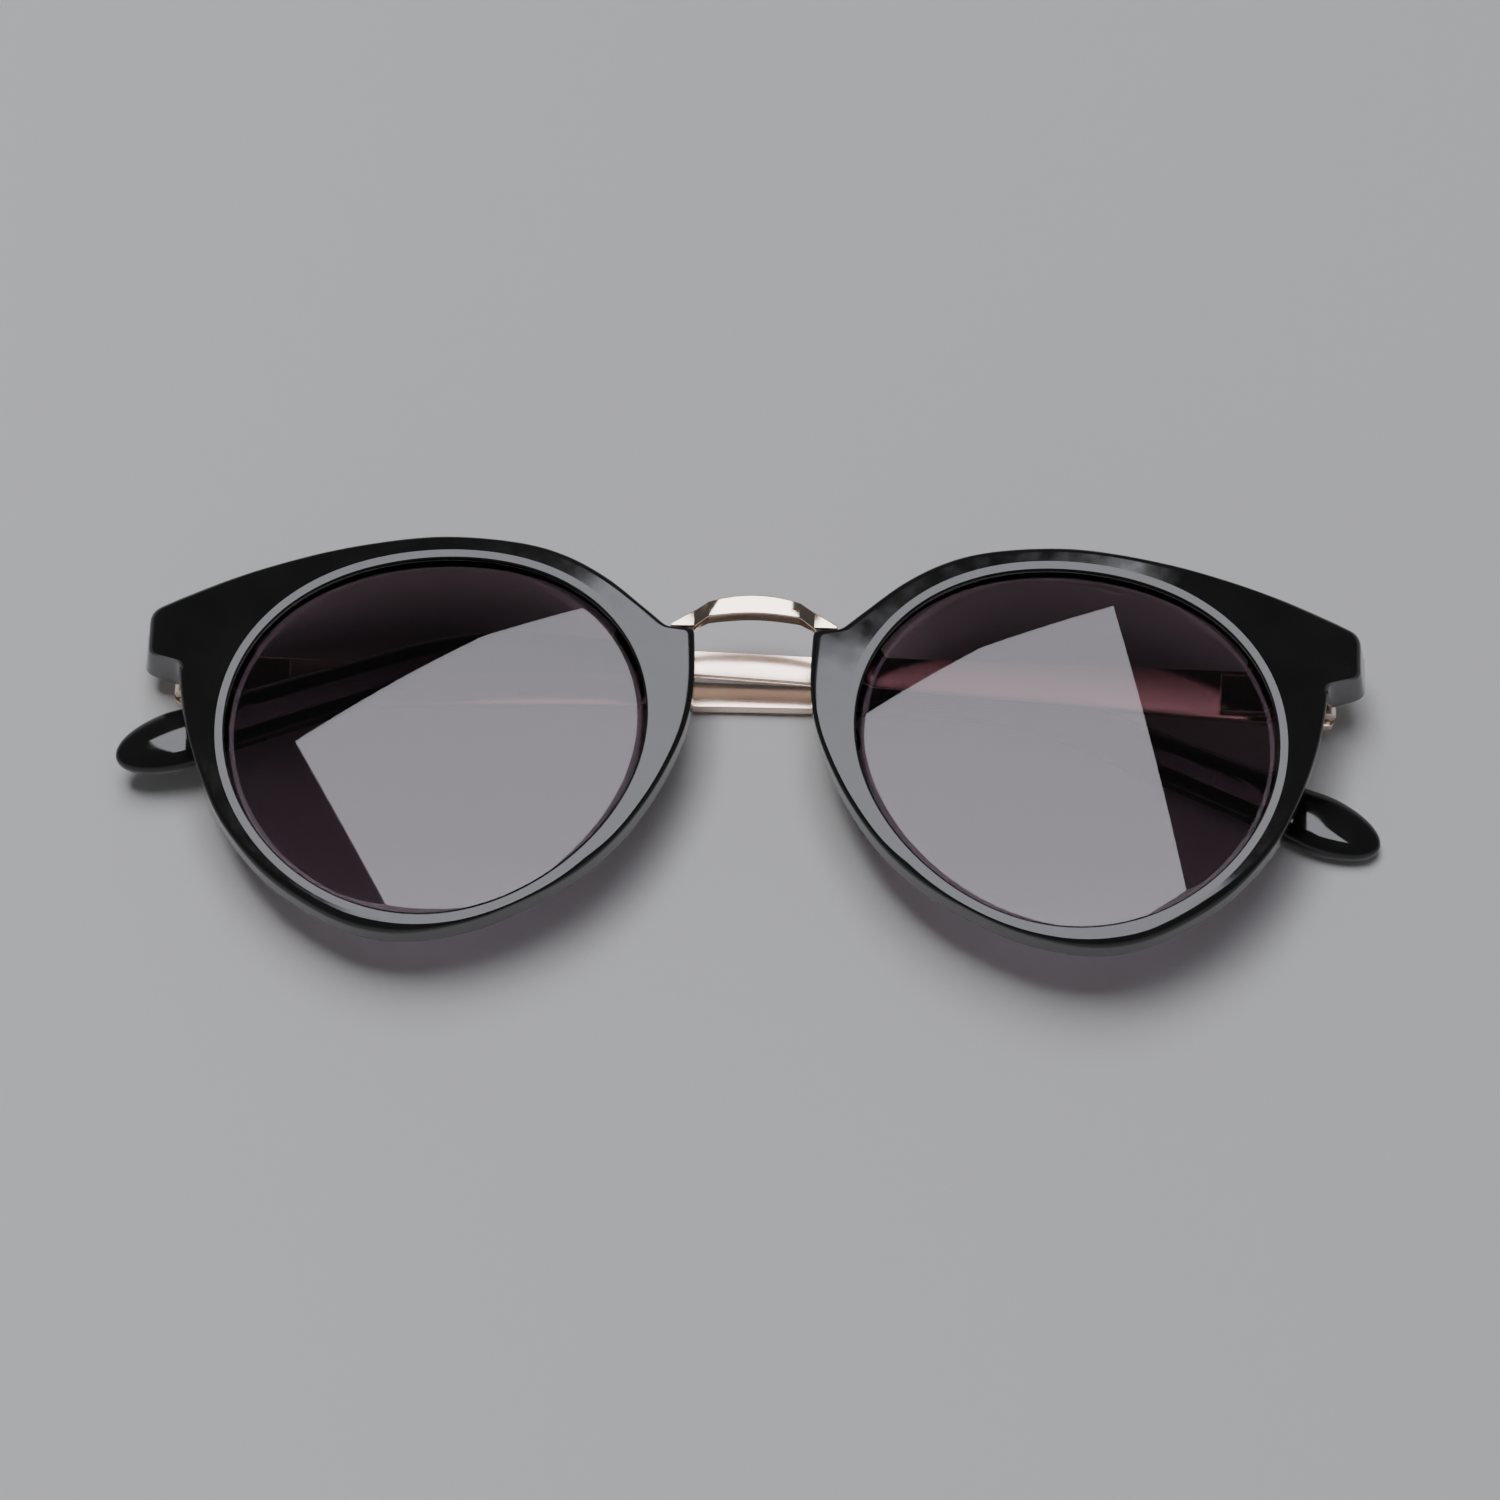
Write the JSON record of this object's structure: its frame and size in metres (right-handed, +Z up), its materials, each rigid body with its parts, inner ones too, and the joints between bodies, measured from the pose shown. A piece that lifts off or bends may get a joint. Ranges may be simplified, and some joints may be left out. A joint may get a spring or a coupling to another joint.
{
  "type": "folding sunglasses",
  "caption": "Round gloss-black sunglasses with graduated brown lenses, a pale gold bridge and gold temples that fold behind the front on hinges.",
  "frame": {"origin": "under the middle of the folded glasses' box, on the surface they lie on", "axes": "+Z up from the surface, out of the front's face; +X along the front, towards the wearer's left; +Y towards the tops of the rims"},
  "size_m": [0.1478, 0.0492, 0.0179],
  "materials": {
    "gloss_black_acetate": "gloss",
    "pale_gold_metal": "polished",
    "tinted_lens": "polished",
    "screw_steel": "satin"
  },
  "bodies": {
    "front": {"bridge": "pale_gold_metal", "left_bridge_screw_1": "screw_steel", "left_bridge_screw_2": "screw_steel", "left_hinge_plate": "pale_gold_metal", "left_hinge_screw": "screw_steel", "left_lens": "tinted_lens", "left_nose_pad": "gloss_black_acetate", "left_plate_screw_1": "screw_steel", "left_plate_screw_2": "screw_steel", "left_rim": "gloss_black_acetate", "right_bridge_screw_1": "screw_steel", "right_bridge_screw_2": "screw_steel", "right_hinge_plate": "pale_gold_metal", "right_hinge_screw": "screw_steel", "right_lens": "tinted_lens", "right_nose_pad": "gloss_black_acetate", "right_plate_screw_1": "screw_steel", "right_plate_screw_2": "screw_steel", "right_rim": "gloss_black_acetate"},
    "left_temple": {"left_hinge_leaf": "pale_gold_metal", "left_temple_bar": "pale_gold_metal", "left_temple_tip": "gloss_black_acetate"},
    "right_temple": {"right_hinge_leaf": "pale_gold_metal", "right_temple_bar": "pale_gold_metal", "right_temple_tip": "gloss_black_acetate"}
  },
  "joints": [
    {"name": "left_temple_hinge", "type": "hinge", "parent": "front", "child": "left_temple", "pos_m": [0.06671, 0.01112, 0.00682], "axis": [0.0001, -1, -0.0035], "range_deg": [0, 95]},
    {"name": "right_temple_hinge", "type": "hinge", "parent": "front", "child": "right_temple", "pos_m": [-0.06624, 0.01112, 0.00323], "axis": [-0.0001, 1, 0.0035], "range_deg": [0, 91.5]}
  ]
}
